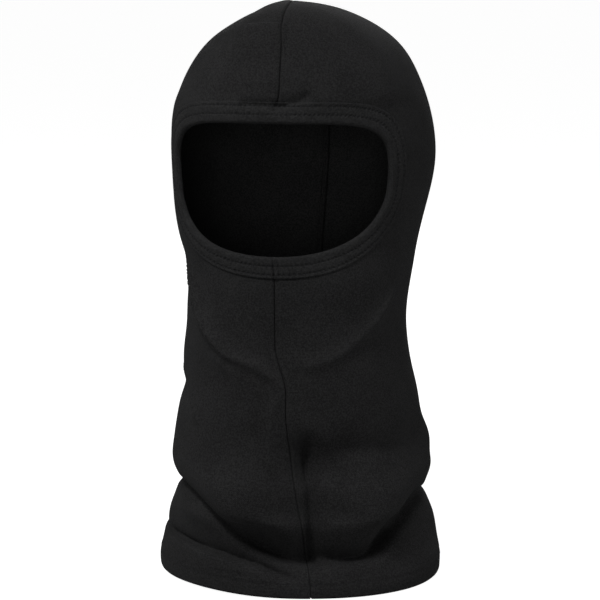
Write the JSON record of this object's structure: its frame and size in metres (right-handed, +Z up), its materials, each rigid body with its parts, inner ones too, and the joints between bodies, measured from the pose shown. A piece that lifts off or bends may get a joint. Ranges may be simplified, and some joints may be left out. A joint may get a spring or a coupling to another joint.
{
  "type": "balaclava",
  "caption": "Knitted head cover with one wide face opening in a stitched band, a seamed hood and a slack neck skirt with a turned-up hem.",
  "frame": {"origin": "on the resting plane of the hem, under the middle of the garment's box", "axes": "+Z up from the hem to the crown; the wearer looks along -Y; +X is the wearer's left, which is the right side of a picture taken from the front"},
  "size_m": [0.1742, 0.1922, 0.35],
  "materials": {
    "knit_fabric": "fine brushed jersey knit, near-black with a faint heather",
    "band_fabric": "the same jersey folded double, smooth",
    "elastic": "flat braided elastic tape, hidden in the band",
    "thread": "spun polyester sewing thread, matt black",
    "label_satin": "blank woven satin label",
    "label_thread": "light sewing thread"
  },
  "bodies": {
    "neck": {"left_neck_panel": "knit_fabric", "right_neck_panel": "knit_fabric", "chin_seam_thread": "thread", "hem_needle_thread_upper": "thread", "hem_needle_thread_lower": "thread", "hem_looper_thread": "thread", "label_thread": "label_thread"},
    "hood": {"left_hood_panel": "knit_fabric", "right_hood_panel": "knit_fabric", "face_band": "band_fabric", "face_elastic": "elastic", "face_needle_thread_inner": "thread", "face_needle_thread_outer": "thread", "face_looper_thread": "thread", "band_join_thread": "thread", "crown_seam_thread": "thread"},
    "label": {"care_label": "label_satin"}
  },
  "joints": [
    {"name": "hood_turn", "type": "hinge", "parent": "neck", "child": "hood", "pos_m": [0, -0.017, 0.12], "axis": [0, 0, 1], "range_deg": [-60, 60], "stiffness_Nm_per_rad": 0.02, "deforming": ["crown_seam_thread", "chin_seam_thread"]},
    {"name": "label_flap", "type": "hinge", "parent": "neck", "child": "label", "pos_m": [-0.01329, 0.06769, 0.04314], "axis": [0, 0, -1], "range_deg": [0, 150], "stiffness_Nm_per_rad": 0.00001}
  ]
}
